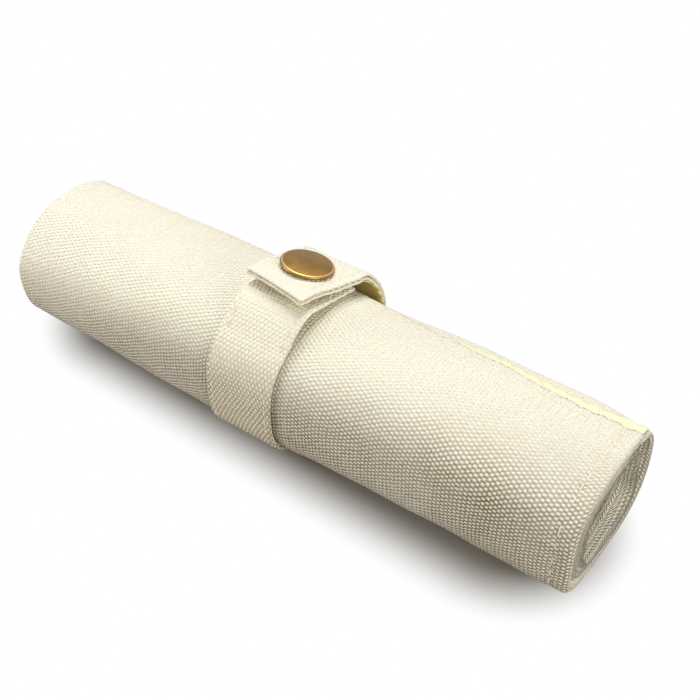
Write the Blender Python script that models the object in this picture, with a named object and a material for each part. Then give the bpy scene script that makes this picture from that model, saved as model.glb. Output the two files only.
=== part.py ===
# Roll-up canvas case for watch straps, rolled closed and held by a strap with a press stud.
# Metres, +Z up. X runs along the roll, -Y is the front, and the origin lies on the surface
# that the case rests on, under the middle of its bounding box.
from math import cos, degrees, pi, radians, sin

import bmesh
import bpy
from mathutils import Matrix, Vector

# Driving sizes of the rolled sheet
ROLL_LENGTH = 0.185
ROLL_WIDTH = 0.0498  # at the strap, where the roll is fullest
ROLL_HEIGHT = 0.0385  # top of the canvas over the surface at the strap
SHEET_CANVAS = 0.00085
SHEET_LINING = 0.00035
POCKET_CANVAS = 0.0007
PLY_GAP = 0.0003
TURN_GAP = 0.0011  # slack between one turn of the roll and the next
SETTLE = 0.0005  # how deep the rounded underside is pressed flat
LINING_PEEP = 0.0022  # strip of lining that shows past the canvas's free edge
LINING_END_INSET = 0.0008
POCKET_END_INSET = 0.0016
STRAP_ZONE_MARGIN = 0.004

# Driving sizes of the strap
STRAP_WIDTH = 0.0213
STRAP_CENTRE_X = -0.0037
STRAP_CANVAS = 0.00085
STRAP_LINING = 0.00035
STRAP_GAP = 0.0003
LINING_SIDE_INSET = 0.0003
BAND_END_RUN = 0.0085  # from the stud's axis back to the band's free end
TAB_REACH = 0.0125  # from the cap's axis forward to the square tip
TAB_FLAT_BACK = 0.0075  # from the cap's axis back to where the arch starts to bend
HINGE_BACK = 0.005  # along the arch, from the end of the flat to the bending line
ARCH_RISE = 0.016  # pull of the arch's curve where it leaves the roll
ARCH_CROWN = 0.0095  # pull of the arch's curve where it meets the tab
TAB_TURN = radians(6.5)  # the tab lies a little askew, turned about the stud

# Driving sizes of the press stud
CAP_DIAMETER = 0.015
CAP_HEIGHT = 0.0019
CAP_EDGE = 0.0006
CAP_WALL = 0.0006
CAP_BEARING = 0.0011  # width of the rim that sits on the canvas
STUD_HEAD_RADIUS = 0.00235
STUD_NECK_RADIUS = 0.00195
STUD_HEIGHT = 0.0021
STUD_FLANGE_RADIUS = 0.0052
STUD_FLANGE = 0.0004
SOCKET_RADIUS = 0.0056
SOCKET_HEIGHT = 0.0022
SOCKET_ROOF = 0.00035
SOCKET_LIP = 0.0004
SPRING_WIRE = 0.0005
POST_RADIUS = 0.0014
POST_LIP_RADIUS = 0.0022
POST_LIP = 0.00012
RIVET_RADIUS = 0.0011
RIVET_HEAD_RADIUS = 0.004
RIVET_HEAD = 0.0003
RIVET_TOP_WALL = 0.0005  # metal left over the rivet inside the stud
SNAP_SEAT = 0.0002  # clearance between seated pieces of the stud
SNAP_PLAY = 0.0003  # radial clearance that lets the stud slide out
HOLE_PLAY = 0.0003  # radial clearance of a post in its hole
CUT_OVERRUN = 0.001

# Turns of the wound sheet, in degrees about the roll: 0 back, 90 top, 180 front, 270 bottom
STEP = 11.25
FREE_EDGE = 5 * STEP
SHEET_STEPS = 80
POCKET_STEPS = 52
STUD_TURN = 84
BAND_LEAVES_FLAT = 99
BAND_MEETS_ROLL = 132
ARCH_LEAVES_ROLL = 315
STUD_TILT = radians(14)

# Squareness of the section's quarters: back top, front top, front bottom, back bottom
LEFT_SQUARENESS_SHARES = (2.7, 1.7, 3.2, 2.4)
STRAP_SQUARENESS_SHARES = (1.9, 2.5, 3.2, 2.4)
RIGHT_SQUARENESS_SHARES = (2.6, 3.0, 3.2, 2.4)
# Each end against the strap: width, height and lean toward the back
LEFT_WIDTH_SHARE = 0.905
LEFT_HEIGHT_SHARE = 0.936
LEFT_LEAN_SHARE = -0.08
RIGHT_WIDTH_SHARE = 0.908
RIGHT_HEIGHT_SHARE = 0.878
RIGHT_LEAN_SHARE = 0.0
FREE_EDGE_SNUG_SHARE = 0.3  # turn over which the free edge sinks onto the turn beneath
END_RUN_SHARES = (0.0, 0.3, 0.65, 1.0)
CAP_SEGMENTS = 36
BORE_SEGMENTS = 16
SPRING_OPENING = radians(40)
NECK_TOP_SHARE = 0.35  # of the stud's height over its flange
HEAD_WIDEST_SHARE = 0.65

CREAM = (0.80, 0.74, 0.60)
PALE_YELLOW = (0.86, 0.84, 0.58)
ANTIQUE_BRASS = (0.36, 0.22, 0.09)
STEEL_WIRE = (0.55, 0.53, 0.5)

for old in list(bpy.data.objects):
    bpy.data.objects.remove(old, do_unlink=True)

strap_stack = STRAP_LINING + PLY_GAP + STRAP_CANVAS
sheet_stack = SHEET_CANVAS + PLY_GAP + SHEET_LINING
pitch = sheet_stack + PLY_GAP + POCKET_CANVAS + TURN_GAP
strap_left = STRAP_CENTRE_X - STRAP_WIDTH / 2
strap_right = STRAP_CENTRE_X + STRAP_WIDTH / 2


def surface_material(name, colour, roughness, metallic):
    material = bpy.data.materials.new(name)
    material.use_nodes = True
    shader = material.node_tree.nodes["Principled BSDF"]
    shader.inputs["Base Color"].default_value = (*colour, 1)
    shader.inputs["Roughness"].default_value = roughness
    shader.inputs["Metallic"].default_value = metallic
    return material


canvas_material = surface_material("cream canvas", CREAM, 0.9, 0)
lining_material = surface_material("pale lining", PALE_YELLOW, 0.85, 0)
brass_material = surface_material("antique brass", ANTIQUE_BRASS, 0.35, 1)
spring_material = surface_material("spring wire", STEEL_WIRE, 0.3, 1)


def new_object(name, mesh, material, smooth_angle=radians(35)):
    """Adds the mesh as one named piece with its own material."""
    mesh.shade_smooth()
    mesh.set_sharp_from_angle(angle=smooth_angle)
    mesh.materials.append(material.copy())
    piece = bpy.data.objects.new(name, mesh)
    bpy.context.collection.objects.link(piece)
    return piece


def ease(start, end, value):
    """Smooth rise from 0 at the start to 1 at the end."""
    share = min(1, max(0, (value - start) / (end - start)))
    return share * share * (3 - 2 * share)


def blend(near, far, share):
    return near + (far - near) * share


def sheet_depth(turn):
    """Depth of the canvas's outer face: one pitch deeper with each full turn, and sunk onto
    the turn beneath along the free edge."""
    wound = (turn - FREE_EDGE) / 360
    sunk = pitch - sheet_stack - PLY_GAP
    return pitch * wound + sunk * (1 - ease(0, FREE_EDGE_SNUG_SHARE, wound))


# Section of the roll: four superellipse quarters, pressed flat underneath.
# Away from the strap the ends narrow, sag to the surface and lean, each its own way.
def section(x):
    """Half width, half height, height of the middle, lean and squareness of the roll at x."""
    zone_left = strap_left - STRAP_ZONE_MARGIN
    zone_right = strap_right + STRAP_ZONE_MARGIN
    if x < zone_left:
        away = ease(zone_left, -ROLL_LENGTH / 2, x)
        end_width, end_height = LEFT_WIDTH_SHARE, LEFT_HEIGHT_SHARE
        end_lean, end_squareness = LEFT_LEAN_SHARE, LEFT_SQUARENESS_SHARES
    else:
        away = ease(zone_right, ROLL_LENGTH / 2, x)
        end_width, end_height = RIGHT_WIDTH_SHARE, RIGHT_HEIGHT_SHARE
        end_lean, end_squareness = RIGHT_LEAN_SHARE, RIGHT_SQUARENESS_SHARES
    width = ROLL_WIDTH * blend(1, end_width, away)
    height = ROLL_HEIGHT * blend(1, end_height, away)
    half_width = (width + sheet_depth(180) + sheet_depth(360)) / 2
    lift = (strap_stack + STRAP_GAP) * (1 - away)
    half_height = (height - lift + SETTLE + sheet_depth(90) + sheet_depth(270)) / 2
    middle = lift + half_height - SETTLE - sheet_depth(270)
    pairs = zip(STRAP_SQUARENESS_SHARES, end_squareness)
    squareness = [blend(at_strap, at_end, away) for at_strap, at_end in pairs]
    return half_width, half_height, middle, end_lean * away, squareness


def roll_point(x, turn, below):
    """Point (y, z) of the roll's section at a turn in degrees, at a depth below the canvas's
    outer face. Every turn is pressed flat over the bottom."""
    half_width, half_height, middle, lean, squareness = section(x)
    depth = sheet_depth(turn) + below
    bottom_depth = sheet_depth(270 + 360 * round((turn - 270) / 360)) + below
    across, up = cos(radians(turn)), sin(radians(turn))
    quarter = (0 if across >= 0 else 1) if up >= 0 else (2 if across < 0 else 3)
    power = 2 / squareness[quarter]
    y = (half_width - depth) * abs(across) ** power * (1 if across >= 0 else -1)
    z = (half_height - depth) * abs(up) ** power * (1 if up >= 0 else -1)
    z = max(z, SETTLE - half_height + bottom_depth)
    return Vector((y + lean * z, middle + z))


def stations(inset):
    """Places along X where the sheet's section is drawn, denser beside the strap."""
    zone_left = strap_left - STRAP_ZONE_MARGIN
    zone_right = strap_right + STRAP_ZONE_MARGIN
    left_end, right_end = inset - ROLL_LENGTH / 2, ROLL_LENGTH / 2 - inset
    left = [blend(zone_left, left_end, share) for share in reversed(END_RUN_SHARES)]
    right = [blend(zone_right, right_end, share) for share in END_RUN_SHARES]
    return left + right


def closed_grid(name, rows, material):
    """Solid of a ply: each row holds (outer, inner) point pairs along the winding."""
    shape = bmesh.new()
    outer = [[shape.verts.new(pair[0]) for pair in row] for row in rows]
    inner = [[shape.verts.new(pair[1]) for pair in row] for row in rows]
    for side in (outer, inner):
        for near, far in zip(side, side[1:]):
            for index in range(len(near) - 1):
                shape.faces.new((near[index], near[index + 1], far[index + 1], far[index]))
    for near, far, near_in, far_in in zip(outer, outer[1:], inner, inner[1:]):
        for end in (0, -1):
            shape.faces.new((near[end], far[end], far_in[end], near_in[end]))
    for end in (0, -1):
        for index in range(len(outer[end]) - 1):
            face = (outer[end][index], outer[end][index + 1],
                    inner[end][index + 1], inner[end][index])
            shape.faces.new(face)
    bmesh.ops.recalc_face_normals(shape, faces=shape.faces)
    mesh = bpy.data.meshes.new(name)
    shape.to_mesh(mesh)
    shape.free()
    return new_object(name, mesh, material)


def wound_ply(name, turns, below, thickness, inset, material):
    """One ply of the wound sheet, lying at a given depth below the canvas's outer face."""
    rows = []
    for x in stations(inset):
        row = []
        for turn in turns:
            faces = [roll_point(x, turn, below), roll_point(x, turn, below + thickness)]
            row.append([Vector((x, y + shift_y, z)) for y, z in faces])
        rows.append(row)
    return closed_grid(name, rows, material)


# Route of the strap in the (y, z) plane: flat under the stud, snug round the front and
# the bottom, loose up the back, over the arch and flat again as the tab.
def snug_point(turn):
    return roll_point(STRAP_CENTRE_X, turn, -STRAP_GAP)


stud_forward = Vector((-cos(STUD_TILT), sin(STUD_TILT)))
stud_out = Vector((sin(STUD_TILT), cos(STUD_TILT)))
rivet_room = RIVET_HEAD + 2 * SNAP_SEAT
band_seat = snug_point(STUD_TURN) + stud_out * rivet_room
stud_foot = band_seat + stud_out * strap_stack
snap_closed_gap = SNAP_SEAT + STUD_FLANGE + SNAP_SEAT + SOCKET_HEIGHT + SNAP_SEAT
tab_seat = stud_foot + stud_out * snap_closed_gap


def bezier(points, share):
    rest = 1 - share
    weights = (rest ** 3, 3 * rest ** 2 * share, 3 * rest * share ** 2, share ** 3)
    return sum((point * weight for point, weight in zip(points, weights)), Vector((0, 0)))


def band_route():
    """Inner face of the strap from the band's free end to the end of the arch."""
    end_point = band_seat - stud_forward * BAND_END_RUN
    flat_front = band_seat + stud_forward * (STUD_FLANGE_RADIUS + SNAP_SEAT)
    route = [end_point, band_seat, flat_front]
    turn = BAND_LEAVES_FLAT
    while turn <= ARCH_LEAVES_ROLL:
        snug = snug_point(turn)
        flat = band_seat + stud_forward * (snug - band_seat).dot(stud_forward)
        point = flat.lerp(snug, ease(BAND_LEAVES_FLAT, BAND_MEETS_ROLL, turn))
        if (point - band_seat).dot(stud_forward) > (flat_front - band_seat).length or turn > 180:
            route.append(point)
        turn += STEP / 2
    leave = snug_point(ARCH_LEAVES_ROLL)
    rise = (snug_point(ARCH_LEAVES_ROLL + 1) - snug_point(ARCH_LEAVES_ROLL - 1)).normalized()
    arch_end = tab_seat - stud_forward * TAB_FLAT_BACK
    pulls = [leave, leave + rise * ARCH_RISE, arch_end - stud_forward * ARCH_CROWN, arch_end]
    arch_steps = 18
    route += [bezier(pulls, step / arch_steps) for step in range(1, arch_steps + 1)]
    return route


def measure(route):
    """Running length of a route at each of its points."""
    lengths = [0]
    for near, far in zip(route, route[1:]):
        lengths.append(lengths[-1] + (far - near).length)
    return lengths


def cut_route(route, start, end):
    """The stretch of a route between two running lengths."""
    lengths = measure(route)

    def at(length):
        for index in range(len(route) - 1):
            if length <= lengths[index + 1]:
                share = (length - lengths[index]) / (lengths[index + 1] - lengths[index])
                return route[index].lerp(route[index + 1], share)
        return route[-1]

    inner = [p for p, l in zip(route, lengths) if start + PLY_GAP / 2 < l < end - PLY_GAP / 2]
    return [at(start)] + inner + [at(end)]


def offset_route(route, distance):
    """The route moved out square to itself."""
    moved = []
    for index, point in enumerate(route):
        before = route[max(index - 1, 0)]
        after = route[min(index + 1, len(route) - 1)]
        if index in (0, len(route) - 1):
            along = (after - before).normalized()
            moved.append(point + Vector((along.y, -along.x)) * distance)
            continue
        first, second = (point - before).normalized(), (after - point).normalized()
        along = (first + second).normalized()
        stretch = 1 / along.dot(first)
        moved.append(point + Vector((along.y, -along.x)) * distance * stretch)
    return moved


band = band_route()
arch_length = measure(band)[-1]
tab_flat = [tab_seat + stud_forward * run for run in (0, TAB_REACH)]
whole_route = band + tab_flat
hinge_length = arch_length - HINGE_BACK
whole_length = measure(whole_route)[-1]
band_line = cut_route(whole_route, 0, hinge_length - PLY_GAP / 2)
tab_line = cut_route(whole_route, hinge_length + PLY_GAP / 2, whole_length)
strap_outer_face = offset_route(band_line, strap_stack)
hinge_near = offset_route(cut_route(whole_route, 0, hinge_length), strap_stack)[-1]

# The origin stands under the middle of the bounding box
front_reach = min(point.x for point in strap_outer_face)
back_reach = max(point.x for point in strap_outer_face)
shift_y = -(front_reach + back_reach) / 2

# The wound sheet: outer canvas, cotton lining and the inner pocket panel
sheet_turns = [FREE_EDGE + STEP * index for index in range(SHEET_STEPS + 1)]
wound_ply("outer_canvas", sheet_turns, 0, SHEET_CANVAS, 0, canvas_material)
peep_turn = degrees(LINING_PEEP / (ROLL_WIDTH / 2))
lining_turns = [FREE_EDGE - peep_turn] + sheet_turns
wound_ply("lining", lining_turns, SHEET_CANVAS + PLY_GAP, SHEET_LINING,
          LINING_END_INSET, lining_material)
pocket_turns = sheet_turns[-POCKET_STEPS:]
wound_ply("pocket_panel", pocket_turns, sheet_stack + PLY_GAP, POCKET_CANVAS,
          POCKET_END_INSET, canvas_material)


# The strap's plies: one route pushed out by each ply's depth and carried across the width
def turned_tab(point, x):
    """The tab's flat lies askew: turned about the stud, fading out toward the arch."""
    flat = point - tab_seat
    forward, out = flat.dot(stud_forward), flat.dot(stud_out)
    share = ease(-TAB_FLAT_BACK - HINGE_BACK, SNAP_SEAT - TAB_FLAT_BACK + HINGE_BACK / 2, forward)
    angle = TAB_TURN * share
    side = x - STRAP_CENTRE_X
    turned_side = side * cos(angle) - forward * sin(angle)
    turned_forward = side * sin(angle) + forward * cos(angle)
    moved = tab_seat + stud_forward * turned_forward + stud_out * out
    return Vector((STRAP_CENTRE_X + turned_side, moved.x + shift_y, moved.y))


def placed(point, x):
    return Vector((x, point.x + shift_y, point.y))


def strap_ply(name, line, below, thickness, inset, place, material):
    inner, outer = offset_route(line, below), offset_route(line, below + thickness)
    rows = []
    for x in (strap_left + inset, strap_right - inset):
        rows.append([(place(far, x), place(near, x)) for near, far in zip(inner, outer)])
    return closed_grid(name, rows, material)


def snap_place(height):
    """Matrix of a turned piece on the stud's axis, at a height over the strap's outer face."""
    foot = stud_foot + stud_out * height
    spot = Matrix.Translation((STRAP_CENTRE_X, foot.x + shift_y, foot.y))
    return spot @ Matrix.Rotation(-STUD_TILT, 4, "X")


def bore(piece, radius, low, high):
    """A round hole on the stud's axis between two heights."""
    mesh = bpy.data.meshes.new(piece.name + " hole")
    shape = bmesh.new()
    depth = high - low + 2 * CUT_OVERRUN
    bmesh.ops.create_cone(shape, cap_ends=True, segments=BORE_SEGMENTS, radius1=radius,
                          radius2=radius, depth=depth)
    shape.to_mesh(mesh)
    shape.free()
    cutter = bpy.data.objects.new(piece.name + "_hole", mesh)
    bpy.context.collection.objects.link(cutter)
    cutter.matrix_world = snap_place((low + high) / 2)
    cutter.hide_render = True
    cutter.display_type = "WIRE"
    cut = piece.modifiers.new("hole", "BOOLEAN")
    cut.object = cutter
    cut.solver = "EXACT"


band_canvas = strap_ply("band_canvas", band_line, STRAP_LINING + PLY_GAP, STRAP_CANVAS, 0,
                        placed, canvas_material)
band_lining = strap_ply("band_lining", band_line, 0, STRAP_LINING, LINING_SIDE_INSET,
                        placed, lining_material)
tab_canvas = strap_ply("tab_canvas", tab_line, STRAP_LINING + PLY_GAP, STRAP_CANVAS, 0,
                       turned_tab, canvas_material)
tab_lining = strap_ply("tab_lining", tab_line, 0, STRAP_LINING, LINING_SIDE_INSET,
                       turned_tab, lining_material)
for ply in (band_canvas, band_lining):
    bore(ply, RIVET_RADIUS + HOLE_PLAY, -strap_stack, 0)
for ply in (tab_canvas, tab_lining):
    bore(ply, POST_RADIUS + HOLE_PLAY, snap_closed_gap, snap_closed_gap + strap_stack)


# The press stud: every piece is turned about the stud's axis from its outline (radius, height)
def turned(name, outline, height, material, segments=CAP_SEGMENTS):
    shape = bmesh.new()
    rings = []
    for radius, z in outline:
        if radius == 0:
            rings.append([shape.verts.new((0, 0, z))] * segments)
            continue
        angles = [2 * pi * index / segments for index in range(segments)]
        rings.append([shape.verts.new((radius * cos(a), radius * sin(a), z)) for a in angles])
    for near, far in zip(rings, rings[1:] + rings[:1]):
        for index in range(segments):
            following = (index + 1) % segments
            corners = [near[index], near[following], far[following], far[index]]
            corners = list(dict.fromkeys(corners))
            if len(corners) > 2:
                shape.faces.new(corners)
    bmesh.ops.recalc_face_normals(shape, faces=shape.faces)
    mesh = bpy.data.meshes.new(name)
    shape.to_mesh(mesh)
    shape.free()
    piece = new_object(name, mesh, material)
    piece.matrix_world = snap_place(height)
    return piece


# Cap: thin dome with a rolled edge, hollow underneath, on a tubular post that runs through
# the tab and is flared under the socket's roof
cap_radius = CAP_DIAMETER / 2
cap_foot = snap_closed_gap + strap_stack + SNAP_SEAT
roof_under = snap_closed_gap - SNAP_SEAT - SOCKET_ROOF
post_end = roof_under - SNAP_SEAT - POST_LIP - cap_foot
dome_steps = 4
dome_rise = CAP_HEIGHT - 2 * CAP_EDGE
dome = [((cap_radius - CAP_EDGE) * share, 2 * CAP_EDGE + dome_rise * (1 - share * share))
        for share in (index / dome_steps for index in range(dome_steps + 1))]
edge_angles = [radians(angle) for angle in (60, 30, 0, -45, -90)]
rim = [(cap_radius - CAP_EDGE + CAP_EDGE * cos(angle), CAP_EDGE + CAP_EDGE * sin(angle))
       for angle in edge_angles]
hollow_radius = cap_radius - CAP_EDGE - CAP_BEARING
hollow_roof = 2 * CAP_EDGE - CAP_WALL
cap_underside = [(hollow_radius, 0), (hollow_radius, hollow_roof), (POST_RADIUS, hollow_roof)]
post = [(POST_RADIUS, post_end + POST_LIP), (POST_LIP_RADIUS, post_end + POST_LIP),
        (POST_LIP_RADIUS, post_end), (0, post_end)]
turned("snap_cap", dome + rim + cap_underside + post, cap_foot, brass_material)

# Socket: ring with a roof that the post holds, a groove for the spring and a guiding lip
mouth_radius = STUD_HEAD_RADIUS + SNAP_PLAY + HOLE_PLAY / 3
spring_radius = STUD_HEAD_RADIUS + SNAP_PLAY + SPRING_WIRE / 2
groove_radius = spring_radius + SPRING_WIRE / 2 + SNAP_SEAT
groove_top = SOCKET_LIP + 2 * SNAP_SEAT + SPRING_WIRE
inner_radius = POST_LIP_RADIUS + SNAP_PLAY + HOLE_PLAY
socket_foot = SNAP_SEAT + STUD_FLANGE + SNAP_SEAT
roof_hole = POST_RADIUS + HOLE_PLAY
roof_low = SOCKET_HEIGHT - SOCKET_ROOF
socket_edge = SOCKET_LIP / 2
socket_outline = [(roof_hole, SOCKET_HEIGHT), (roof_hole, roof_low), (inner_radius, roof_low),
                  (inner_radius, groove_top), (groove_radius, groove_top),
                  (groove_radius, SOCKET_LIP), (mouth_radius, SOCKET_LIP), (mouth_radius, 0),
                  (SOCKET_RADIUS - socket_edge, 0), (SOCKET_RADIUS, socket_edge),
                  (SOCKET_RADIUS, SOCKET_HEIGHT - socket_edge),
                  (SOCKET_RADIUS - socket_edge, SOCKET_HEIGHT)]
turned("snap_socket", socket_outline, socket_foot, brass_material)

# Spring: one open ring of wire lying in the socket's groove
spring_height = socket_foot + SOCKET_LIP + SNAP_SEAT + SPRING_WIRE / 2
spring_points = 28
wire = bpy.data.curves.new("snap_spring", "CURVE")
wire.dimensions = "3D"
wire.bevel_depth = SPRING_WIRE / 2
wire.bevel_resolution = 2
wire.use_fill_caps = True
loop = wire.splines.new("POLY")
loop.points.add(spring_points - 1)
for index, point in enumerate(loop.points):
    angle = SPRING_OPENING / 2 + (2 * pi - SPRING_OPENING) * index / (spring_points - 1)
    point.co = (spring_radius * cos(angle), spring_radius * sin(angle), 0, 1)
spring = bpy.data.objects.new("snap_spring", wire)
wire.materials.append(spring_material.copy())
bpy.context.collection.objects.link(spring)
spring.matrix_world = snap_place(spring_height)

# Stud: flange on the strap, waisted neck and rounded head, bored from below for the rivet
bore_radius = RIVET_RADIUS + HOLE_PLAY
head_low = blend(STUD_FLANGE, STUD_HEIGHT, NECK_TOP_SHARE)
head_mid = blend(STUD_FLANGE, STUD_HEIGHT, HEAD_WIDEST_SHARE)
bore_top = STUD_HEIGHT - RIVET_TOP_WALL
stud_outline = [(0, bore_top), (bore_radius, bore_top), (bore_radius, 0),
                (STUD_FLANGE_RADIUS, 0), (STUD_FLANGE_RADIUS, STUD_FLANGE),
                (STUD_NECK_RADIUS, STUD_FLANGE), (STUD_NECK_RADIUS, head_low),
                (STUD_HEAD_RADIUS, head_mid), (STUD_NECK_RADIUS, STUD_HEIGHT), (0, STUD_HEIGHT)]
turned("snap_stud", stud_outline, SNAP_SEAT, brass_material)

# Rivet: flat head against the strap's inner face, shank up into the stud
rivet_foot = -strap_stack - SNAP_SEAT - RIVET_HEAD
shank_top = SNAP_SEAT + bore_top - SNAP_SEAT - rivet_foot
rivet_outline = [(0, 0), (RIVET_HEAD_RADIUS, 0), (RIVET_HEAD_RADIUS, RIVET_HEAD),
                 (RIVET_RADIUS, RIVET_HEAD), (RIVET_RADIUS, shank_top), (0, shank_top)]
turned("snap_post", rivet_outline, rivet_foot, brass_material)

# The tab bends on a line along X on the strap's outer face, where the arch meets it
tab_hinge = bpy.data.objects.new("tab_hinge", None)
bpy.context.collection.objects.link(tab_hinge)
tab_hinge.location = (STRAP_CENTRE_X, hinge_near.x + shift_y, hinge_near.y)
bpy.context.view_layer.update()
for name in ("tab_canvas", "tab_lining", "snap_cap", "snap_socket", "snap_spring"):
    piece = bpy.data.objects[name]
    held = piece.matrix_world.copy()
    piece.parent = tab_hinge
    piece.matrix_parent_inverse = tab_hinge.matrix_world.inverted()
    piece.matrix_world = held
print("tab hinge at", [round(value, 6) for value in tab_hinge.location])
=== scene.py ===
from functools import cache
from math import cos, exp, floor, pi, radians, sin, sqrt

import bmesh
import bpy
from mathutils import Matrix, Vector, noise


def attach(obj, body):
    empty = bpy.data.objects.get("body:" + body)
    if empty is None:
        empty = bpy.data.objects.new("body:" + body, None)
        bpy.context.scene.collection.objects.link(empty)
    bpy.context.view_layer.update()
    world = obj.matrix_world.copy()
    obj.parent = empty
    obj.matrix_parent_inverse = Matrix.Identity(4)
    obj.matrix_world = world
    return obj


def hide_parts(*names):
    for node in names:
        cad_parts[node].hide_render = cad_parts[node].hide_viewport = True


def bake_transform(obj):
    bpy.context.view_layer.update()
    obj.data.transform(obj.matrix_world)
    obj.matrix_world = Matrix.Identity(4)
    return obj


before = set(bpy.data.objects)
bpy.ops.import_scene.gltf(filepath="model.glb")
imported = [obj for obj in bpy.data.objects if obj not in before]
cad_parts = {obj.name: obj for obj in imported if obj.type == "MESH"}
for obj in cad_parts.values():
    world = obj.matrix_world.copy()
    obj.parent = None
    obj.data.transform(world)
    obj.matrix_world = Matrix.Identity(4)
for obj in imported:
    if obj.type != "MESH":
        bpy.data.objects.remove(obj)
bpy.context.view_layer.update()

# Outer canvas: one sheet of heavy natural cotton duck with its ends folded over and hemmed.
# It is wound two and a half turns about its inner end, and its free edge comes to lie
# along the top of the back.
ROLL_LENGTH = 0.185
HALF_LENGTH = ROLL_LENGTH / 2
STRAP_X = -0.0037
CANVAS_THICKNESS = 0.001
HEM_THICKNESS = 0.0032
PRESSED_HEM = 0.0014
HEM_LENGTH = 0.0075
HEM_ROW_IN = 0.0046
# Left end, strap and right end: width, height, lean toward the back, and squareness of
# the back top, front top, front bottom and back bottom quarters
LEFT_END = (0.0454, 0.0371, -0.09, 2.7, 1.75, 3.2, 2.4)
AT_STRAP = (0.0498, 0.0387, 0.0, 1.9, 2.5, 3.2, 2.4)
RIGHT_END = (0.0456, 0.0348, 0.0, 2.65, 3.0, 3.2, 2.6)
MIDDLE_ROUND = 0.03
CORNER_DROOP = 0.32
DROOP_FROM = 0.076
STRAP_LIFT = 0.0018
FLOOR_CLEAR = 0.0001
# The winding, in degrees round the roll and in whole turns, and the free edge: where it lies
# at the left, how much further forward right of the strap and over which places in X, and
# how far it strays near the right end, with the place of that and its reach either side
START_TURN = 56
TURNS = 2.5
EDGE_LEFT = 46
EDGE_FORWARD = 11
FORWARD_RUN = (0.010, 0.036)
EDGE_STRAY = 11.5
STRAY_X = 0.075
STRAY_REACH = (0.026, 0.013)
# Steps down from turn to turn, how the turns part at the back and front near the ends, and
# where each step is made: in degrees past the free edge, and in turns from the start
EDGE_STEP = 0.0015
OUTER_STEP = 0.0027
OUTER_FRONT_PARTS = 0.0007
INNER_STEP = 0.0016
INNER_BACK_PARTS = (0.0012, 0.0026)
INNER_FRONT_PARTS = 0.0024
PARTS_FROM = 0.055
EDGE_SINKS = (-26, 0)
OUTER_SINKS = (2, 45)
INNER_SINKS = (1.56, 1.86)
# Heights of the cloth's swells, of the puckers at the hem's row, of the slack beside the
# strap and of the place pressed in right of it, with how wide these are and where
BROAD_SWELL = 0.0008
FINE_SWELL = 0.00025
PUCKER = 0.00026
PUCKER_WAVE = 0.0002
PUCKER_DEGREES = 10.4
PUCKER_REACH = 0.0013
SLACK = 0.0004
SLACK_OFF = 0.0145
SLACK_REACH = 0.0035
PRESSED_IN = 0.0010
PRESSED_X = 0.021
PRESSED_REACH = 0.013


def blend(near, far, share):
    """The value a share of the way from near to far."""
    return near + (far - near) * share


def ease(start, end, value):
    """0 up to start, 1 from end on, and smooth between."""
    share = min(1, max(0, (value - start) / (end - start)))
    return share * share * (3 - 2 * share)


@cache
def section(x):
    """Size and shape of the roll across X, and how far X is from the middle, 0 to 1."""
    middle = sqrt(MIDDLE_ROUND)
    run = sqrt((x / HALF_LENGTH) ** 2 + MIDDLE_ROUND)
    away = (run - middle) / (sqrt(1 + MIDDLE_ROUND) - middle)
    end = LEFT_END if x < 0 else RIGHT_END
    shape = [blend(near, far, away) for near, far in zip(AT_STRAP, end)]
    shape[3] -= CORNER_DROOP * ease(DROOP_FROM, HALF_LENGTH, x)
    return shape, away


@cache
def free_edge(x):
    """Turn in degrees at which the canvas's free edge lies: it strays forward near the
    right end and drops out of sight behind the top on the left."""
    stray = (x - STRAY_X) / STRAY_REACH[x >= STRAY_X]
    return EDGE_LEFT + EDGE_FORWARD * ease(*FORWARD_RUN, x) + EDGE_STRAY * exp(-stray * stray)


def facing(angle, centre, sharpness=2):
    """How squarely a place on the roll faces one way round it, 0 to 1."""
    return max(0, cos(radians(angle - centre))) ** sharpness


def wind_depth(x, turn):
    """Depth of the canvas's outer face under the roll's outline. Each turn slips under the
    one before it: at the free edge first by the canvas's own step, then by a full layer."""
    angle = turn % 360
    at_end = ease(PARTS_FROM, HALF_LENGTH, abs(x))
    outer = OUTER_STEP + OUTER_FRONT_PARTS * facing(angle, 180) * at_end
    all_along, more_at_end = INNER_BACK_PARTS
    inner = INNER_STEP + (all_along + more_at_end * at_end) * facing(angle, 0, 4)
    inner += INNER_FRONT_PARTS * facing(angle, 180) * at_end
    past = turn - 360 - free_edge(x)
    depth = EDGE_STEP * ease(*EDGE_SINKS, past) + (outer - EDGE_STEP) * ease(*OUTER_SINKS, past)
    return depth + inner * ease(*INNER_SINKS, (turn - START_TURN) / 360)


@cache
def swell(x, angle):
    """Soft unevenness of the filled cloth, the same for every turn, with a row of puckers
    where the hem is sewn, slack on either side of the strap and a place pressed in."""
    around = Vector((cos(radians(angle)), sin(radians(angle)))) * 0.9
    broad = noise.noise(Vector((x * 28, around.x, around.y + 3)))
    fine = noise.noise(Vector((x * 75, around.x * 2.6 + 7, around.y * 2.6)))
    off_strap = abs(x - STRAP_X)
    calm = ease(0.011, 0.022, off_strap)
    from_row = (abs(x) - HALF_LENGTH + HEM_ROW_IN) / PUCKER_REACH
    wave = cos(radians(angle * 360 / PUCKER_DEGREES))
    pucker = exp(-from_row * from_row) * (PUCKER + PUCKER_WAVE * wave)
    beside = (off_strap - SLACK_OFF) / SLACK_REACH
    slack = SLACK * exp(-beside * beside) * facing(angle, 200)
    pressed = (x - PRESSED_X) / PRESSED_REACH
    slack -= PRESSED_IN * exp(-pressed * pressed) * facing(angle, 42)
    return (BROAD_SWELL * broad + FINE_SWELL * fine) * blend(0.25, 1, calm) - pucker + slack


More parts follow.
